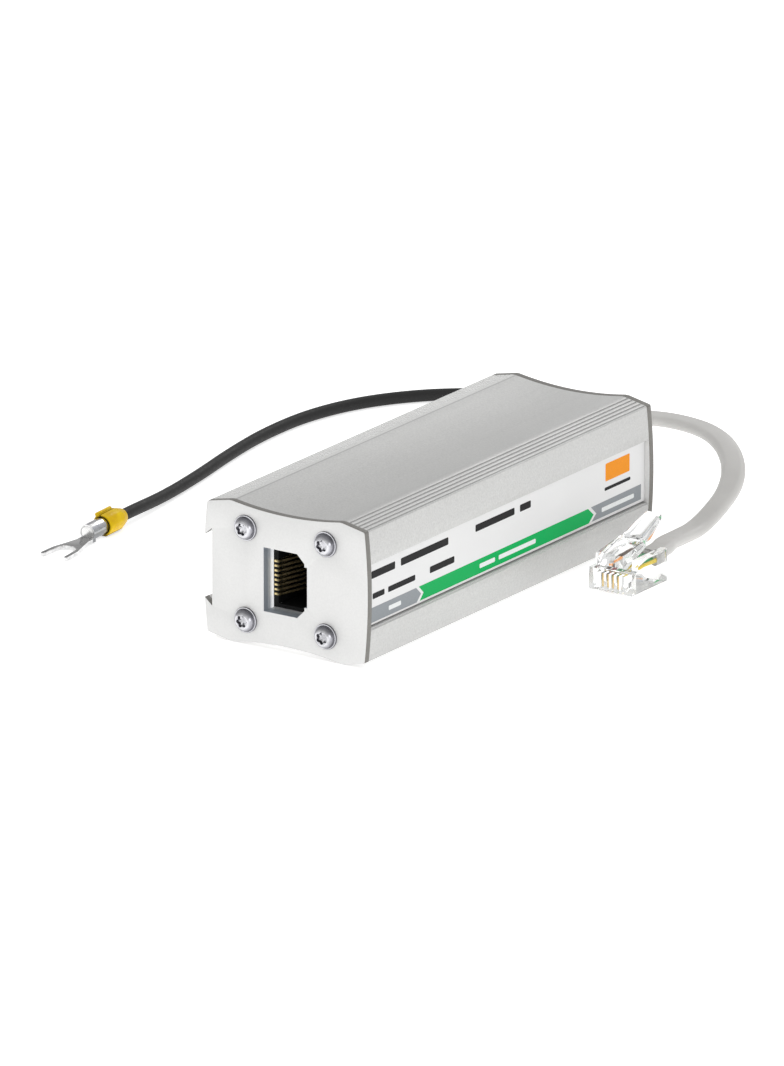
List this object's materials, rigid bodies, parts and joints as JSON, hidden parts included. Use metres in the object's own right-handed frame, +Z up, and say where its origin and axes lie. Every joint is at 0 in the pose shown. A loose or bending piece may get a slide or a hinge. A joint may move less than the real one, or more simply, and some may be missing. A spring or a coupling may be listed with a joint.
{
  "type": "in-line telecom surge protector",
  "caption": "In-line surge protector: ribbed aluminium tube housing with a modular socket at one end, and a flat cable with a clear modular plug and an earth lead at the other.",
  "frame": {"origin": "under the middle of the housing, on the surface that it stands on, cords not counted", "axes": "+Y along the housing, from the socket end towards the cable end; +Z up; the dovetail slot faces -X and the label faces +X"},
  "size_m": [0.1242, 0.1728, 0.03],
  "materials": {
    "housing_profile": "sand-blasted and clear anodised",
    "line_end_plate": "sand-blasted and clear anodised",
    "cable_end_plate": "sand-blasted and clear anodised",
    "line_plate_screws": "zinc plated",
    "cable_plate_screws": "zinc plated",
    "label_strip": "printed film",
    "jack_shield": "nickel plated sheet",
    "jack_housing": "moulded",
    "jack_contacts": "gold plated",
    "circuit_board": "solder mask",
    "gas_arresters": "ceramic with plated caps",
    "suppressor_diodes": "moulded",
    "series_resistors": "glazed, plated ends",
    "flat_cable_bushing": "matt",
    "earth_lead_bushing": "matt",
    "flat_cable": "soft satin",
    "black_core": "smooth",
    "red_core": "smooth",
    "green_core": "smooth",
    "yellow_core": "smooth",
    "earth_lead": "soft satin",
    "earth_conductor": "tinned strands, crimped",
    "fork_lug": "tin plated copper",
    "lug_sleeve": "soft satin",
    "plug_body": "clear",
    "plug_latch": "clear",
    "plug_contacts": "gold plated"
  },
  "bodies": {
    "protector": {"housing_profile": "housing_profile", "line_end_plate": "line_end_plate", "cable_end_plate": "cable_end_plate", "line_plate_screws": "line_plate_screws", "cable_plate_screws": "cable_plate_screws", "label_strip": "label_strip", "jack_shield": "jack_shield", "jack_housing": "jack_housing", "jack_contacts": "jack_contacts", "circuit_board": "circuit_board", "gas_arresters": "gas_arresters", "suppressor_diodes": "suppressor_diodes", "series_resistors": "series_resistors", "flat_cable_bushing": "flat_cable_bushing", "earth_lead_bushing": "earth_lead_bushing", "flat_cable": "flat_cable", "black_core": "black_core", "red_core": "red_core", "green_core": "green_core", "yellow_core": "yellow_core", "earth_lead": "earth_lead", "earth_conductor": "earth_conductor", "fork_lug": "fork_lug", "lug_sleeve": "lug_sleeve", "plug_body": "plug_body", "plug_contacts": "plug_contacts"},
    "latch": {"plug_latch": "plug_latch"}
  },
  "joints": [
    {"name": "latch_flex", "type": "hinge", "parent": "protector", "child": "latch", "pos_m": [0.0327, 0.0183, 0.00495], "axis": [-1, 0, 0], "range_deg": [0, 12], "stiffness_Nm_per_rad": 0.05}
  ]
}
